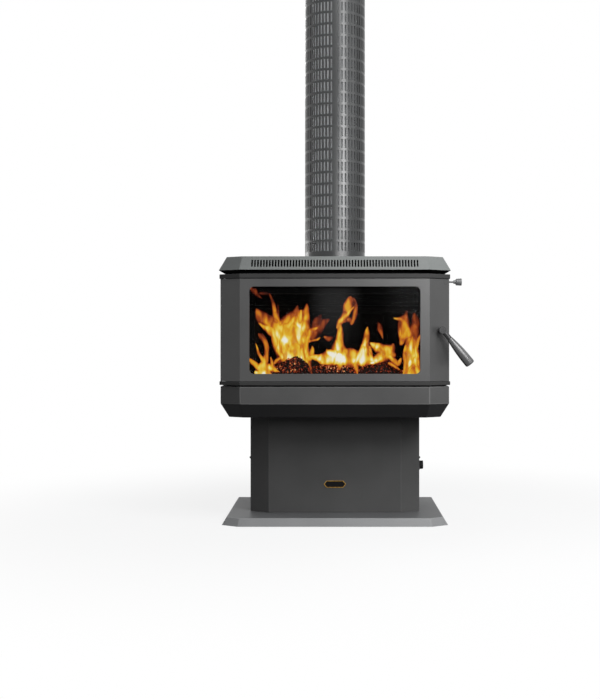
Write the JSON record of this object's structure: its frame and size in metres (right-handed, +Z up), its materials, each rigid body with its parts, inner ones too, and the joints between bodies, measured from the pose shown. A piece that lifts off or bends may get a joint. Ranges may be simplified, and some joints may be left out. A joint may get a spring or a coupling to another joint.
{
  "type": "freestanding wood heater",
  "caption": "Freestanding wood heater on a pedestal: chamfered casing, hinged glass door with turning handle, slotted canopy, flue and guard, sliding air control and fan knob.",
  "frame": {"origin": "middle of the base on the floor", "axes": "+Z up, -Y to the front where the door is, +X to the right seen from the front, the handle's side"},
  "size_m": [0.7982, 0.5715, 1.7758],
  "materials": {
    "casing_paint": "satin metallic charcoal heat-proof paint",
    "door_paint": "satin metallic charcoal heat-proof paint",
    "canopy_paint": "satin metallic grey heat-proof paint",
    "band_paint": "satin metallic charcoal heat-proof paint",
    "guard_paint": "satin metallic charcoal heat-proof paint",
    "badge": "gloss black with a brass-coloured rim, blank",
    "flue_steel": "stainless steel",
    "firebox_steel": "matt black, sooted",
    "plain_steel": "plain steel",
    "screw_steel": "black finished steel",
    "firebrick": "sooted fire clay",
    "ember": "glowing embers and ash",
    "charred_wood": "charred firewood",
    "glass": "clear ceramic glass",
    "seal_fibre": "braided glass-fibre rope",
    "handle_black": "satin black",
    "handle_grey": "satin metallic charcoal",
    "knob_steel": "turned steel",
    "knob_plastic": "black moulded plastic",
    "motor_paint": "zinc plated"
  },
  "bodies": {
    "casing": {"floor_plate": "firebox_steel", "base_plate": "casing_paint", "pedestal_shell": "casing_paint", "pedestal_rear_panel": "casing_paint", "pedestal_rear_screws": "screw_steel", "pedestal_side_screws": "screw_steel", "badge_plate": "badge", "lower_casing": "casing_paint", "firebox_rails": "firebox_steel", "lower_band_spacers": "firebox_steel", "lower_band": "band_paint", "upper_band": "band_paint", "hinge_bushes": "plain_steel", "side_panel_left": "casing_paint", "side_panel_right": "casing_paint", "rear_panel": "casing_paint", "rear_panel_screws": "screw_steel", "canopy": "canopy_paint", "firebox_shell": "firebox_steel", "firebrick_floor": "firebrick", "firebrick_left": "firebrick", "firebrick_right": "firebrick", "firebrick_rear": "firebrick", "baffle_plate": "firebox_steel", "secondary_air_tubes": "firebox_steel", "airwash_channel": "firebox_steel", "ember_bed": "ember", "fuel_logs": "charred_wood", "flue_spigot": "firebox_steel", "flue_pipe": "flue_steel", "flue_guard": "guard_paint", "flue_guard_spacers": "flue_steel", "latch_keeper": "firebox_steel", "air_box": "firebox_steel", "fan_bracket": "plain_steel", "fan_housing": "plain_steel", "fan_motor": "motor_paint", "fan_switch": "knob_plastic", "terminal_box": "knob_plastic", "cable_gland": "knob_plastic"},
    "door": {"door_frame": "door_paint", "glass_gasket": "seal_fibre", "door_glass": "glass", "glass_retainer": "firebox_steel", "retainer_screws": "screw_steel", "door_rope_seal": "seal_fibre", "hinge_pins": "plain_steel", "handle_bush": "plain_steel"},
    "handle": {"handle_hub": "handle_black", "handle_neck": "handle_black", "handle_grip": "handle_grey", "latch_cam": "plain_steel", "spindle_nut": "plain_steel"},
    "air_control": {"air_slide_plate": "firebox_steel", "air_rod": "plain_steel", "air_knob": "knob_steel"},
    "fan_knob": {"switch_shaft": "plain_steel", "fan_knob": "knob_plastic"},
    "fan_rotor": {"fan_rotor": "plain_steel", "fan_shaft": "plain_steel"}
  },
  "joints": [
    {"name": "door_hinge", "type": "hinge", "parent": "casing", "child": "door", "pos_m": [-0.346, -0.2505, 0.6194], "axis": [0, 0, -1], "range_deg": [0, 110]},
    {"name": "handle_turn", "type": "hinge", "parent": "door", "child": "handle", "pos_m": [0.336, -0.283, 0.6194], "axis": [0, -1, 0], "range_deg": [0, 75]},
    {"name": "air_slide", "type": "slide", "parent": "casing", "child": "air_control", "axis": [1, 0, 0], "range_m": [-0.015, 0.025]},
    {"name": "fan_knob_turn", "type": "hinge", "parent": "casing", "child": "fan_knob", "pos_m": [0.278, -0.0225, 0.169], "axis": [-1, 0, 0], "range_deg": [0, 135]},
    {"name": "fan_spin", "type": "hinge", "parent": "casing", "child": "fan_rotor", "pos_m": [0, 0.0375, 0.115], "axis": [1, 0, 0], "continuous": true}
  ]
}
